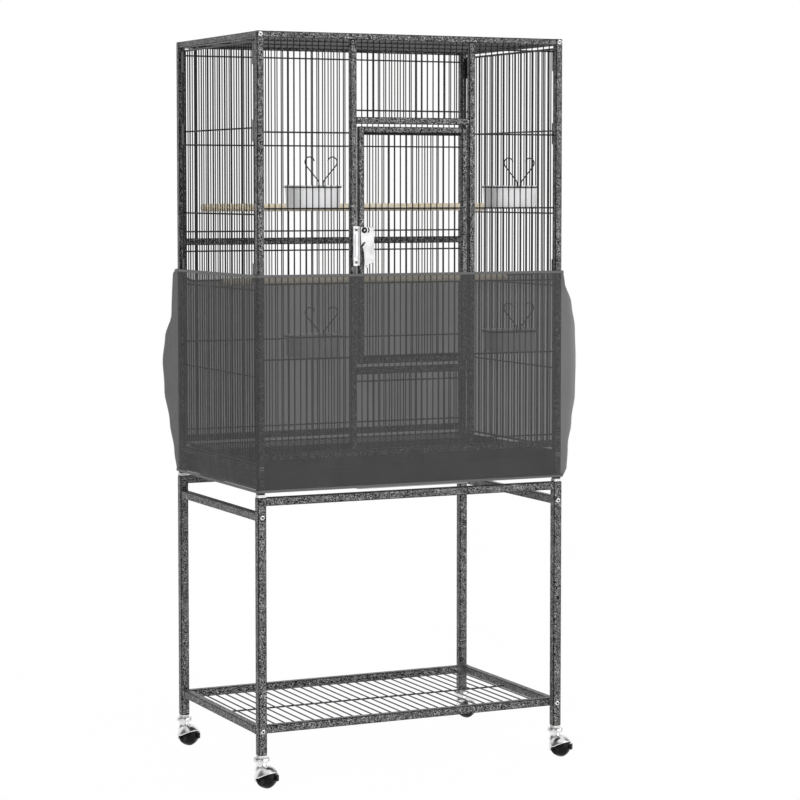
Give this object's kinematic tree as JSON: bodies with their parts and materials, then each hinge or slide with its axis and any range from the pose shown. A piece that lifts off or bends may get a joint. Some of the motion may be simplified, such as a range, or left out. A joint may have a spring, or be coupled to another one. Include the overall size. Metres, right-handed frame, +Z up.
{
  "type": "bird cage on stand",
  "caption": "Tall rectangular wire bird cage on a wheeled tube stand with a shelf, hinged front door, latch, slide-out tray and grate, feeder cups, perches and a net seed catcher.",
  "frame": {"origin": "on the floor, under the middle of the cage", "axes": "+Z up, -Y towards the front with the door, +X to the right of someone facing the door"},
  "size_m": [0.681, 0.471, 1.3647],
  "materials": {
    "hammertone": "hammered black and grey powder coat",
    "black_wire": "satin black coated wire",
    "chrome": "polished",
    "black_plastic": "smooth black plastic",
    "white_nylon": "white nylon",
    "white_plastic": "white moulded plastic",
    "pale_plastic": "pale grey plastic",
    "tray_black": "black moulded sheet",
    "net": "fine dark grey net",
    "wood": "bare round dowel"
  },
  "bodies": {
    "frame": {"stand_front_frame": "hammertone", "stand_back_frame": "hammertone", "stand_side_rail_left": "hammertone", "stand_side_rail_right": "hammertone", "bottom_shelf": "hammertone", "post_connector_front_left": "white_nylon", "post_connector_front_right": "white_nylon", "post_connector_back_left": "white_nylon", "post_connector_back_right": "white_nylon", "front_panel": "hammertone", "back_panel": "hammertone", "cage_top_rail_left": "hammertone", "cage_top_rail_right": "hammertone", "cage_low_rail_left": "hammertone", "cage_low_rail_right": "hammertone", "side_panel_left": "black_wire", "side_panel_right": "black_wire", "top_panel": "black_wire", "latch_keeper": "chrome", "mesh_cover": "net", "perch_back": "wood", "perch_front": "wood", "cup_holder_left_upper": "black_wire", "cup_holder_right_upper": "black_wire", "cup_holder_left_lower": "black_wire", "cup_holder_right_lower": "black_wire", "bolt_top_front_left": "chrome", "bolt_low_front_left": "chrome", "bolt_stand_front_left": "chrome", "bolt_shelf_front_left": "chrome", "bolt_top_front_right": "chrome", "bolt_low_front_right": "chrome", "bolt_stand_front_right": "chrome", "bolt_shelf_front_right": "chrome", "bolt_top_back_left": "chrome", "bolt_low_back_left": "chrome", "bolt_stand_back_left": "chrome", "bolt_shelf_back_left": "chrome", "bolt_top_back_right": "chrome", "bolt_low_back_right": "chrome", "bolt_stand_back_right": "chrome", "bolt_shelf_back_right": "chrome"},
    "door": {"door": "hammertone"},
    "latch": {"latch_lever": "chrome"},
    "tray": {"tray": "tray_black", "tray_pull": "pale_plastic"},
    "grate": {"grate": "black_wire", "grate_knob": "black_plastic"},
    "caster_front_left": {"caster_hood_front_left": "chrome"},
    "wheel_front_left": {"caster_wheel_front_left": "black_plastic"},
    "caster_front_right": {"caster_hood_front_right": "chrome"},
    "wheel_front_right": {"caster_wheel_front_right": "black_plastic"},
    "caster_back_left": {"caster_hood_back_left": "chrome"},
    "wheel_back_left": {"caster_wheel_back_left": "black_plastic"},
    "caster_back_right": {"caster_hood_back_right": "chrome"},
    "wheel_back_right": {"caster_wheel_back_right": "black_plastic"},
    "cup_left_upper": {"feeder_cup_left_upper": "white_plastic"},
    "cup_right_upper": {"feeder_cup_right_upper": "white_plastic"},
    "cup_left_lower": {"feeder_cup_left_lower": "white_plastic"},
    "cup_right_lower": {"feeder_cup_right_lower": "white_plastic"}
  },
  "joints": [
    {"name": "door_hinge", "type": "hinge", "parent": "frame", "child": "door", "pos_m": [0.1055, -0.1995, 0.98], "axis": [0, 0, 1], "range_deg": [0, 110], "deforming": ["mesh_cover"]},
    {"name": "latch_turn", "type": "hinge", "parent": "door", "child": "latch", "pos_m": [-0.103, -0.209, 1.0085], "axis": [0, -1, 0], "range_deg": [0, 60]},
    {"name": "tray_slide", "type": "slide", "parent": "frame", "child": "tray", "axis": [0, -1, 0], "range_m": [0, 0.36], "deforming": ["mesh_cover"]},
    {"name": "grate_slide", "type": "slide", "parent": "frame", "child": "grate", "axis": [0, -1, 0], "range_m": [0, 0.18]},
    {"name": "caster_swivel_front_left", "type": "hinge", "parent": "frame", "child": "caster_front_left", "pos_m": [-0.3035, -0.1985, 0.05], "axis": [0, 0, 1], "continuous": true},
    {"name": "wheel_roll_front_left", "type": "hinge", "parent": "caster_front_left", "child": "wheel_front_left", "pos_m": [-0.29962, -0.21299, 0.0195], "axis": [0.9659, 0.2588, 0], "continuous": true},
    {"name": "caster_swivel_front_right", "type": "hinge", "parent": "frame", "child": "caster_front_right", "pos_m": [0.3035, -0.1985, 0.05], "axis": [0, 0, 1], "continuous": true},
    {"name": "wheel_roll_front_right", "type": "hinge", "parent": "caster_front_right", "child": "wheel_front_right", "pos_m": [0.30738, -0.21299, 0.0195], "axis": [0.9659, 0.2588, 0], "continuous": true},
    {"name": "caster_swivel_back_left", "type": "hinge", "parent": "frame", "child": "caster_back_left", "pos_m": [-0.3035, 0.1985, 0.05], "axis": [0, 0, 1], "continuous": true},
    {"name": "wheel_roll_back_left", "type": "hinge", "parent": "caster_back_left", "child": "wheel_back_left", "pos_m": [-0.29962, 0.18401, 0.0195], "axis": [0.9659, 0.2588, 0], "continuous": true},
    {"name": "caster_swivel_back_right", "type": "hinge", "parent": "frame", "child": "caster_back_right", "pos_m": [0.3035, 0.1985, 0.05], "axis": [0, 0, 1], "continuous": true},
    {"name": "wheel_roll_back_right", "type": "hinge", "parent": "caster_back_right", "child": "wheel_back_right", "pos_m": [0.30738, 0.18401, 0.0195], "axis": [0.9659, 0.2588, 0], "continuous": true},
    {"name": "cup_lift_left_upper", "type": "slide", "parent": "frame", "child": "cup_left_upper", "axis": [0, 0, 1], "range_m": [0, 0.05]},
    {"name": "cup_lift_right_upper", "type": "slide", "parent": "frame", "child": "cup_right_upper", "axis": [0, 0, 1], "range_m": [0, 0.05]},
    {"name": "cup_lift_left_lower", "type": "slide", "parent": "frame", "child": "cup_left_lower", "axis": [0, 0, 1], "range_m": [0, 0.05]},
    {"name": "cup_lift_right_lower", "type": "slide", "parent": "frame", "child": "cup_right_lower", "axis": [0, 0, 1], "range_m": [0, 0.05]}
  ],
  "couplings": [
    {"joint": "grate_slide", "follows": "tray_slide", "ratio": 0.5}
  ]
}
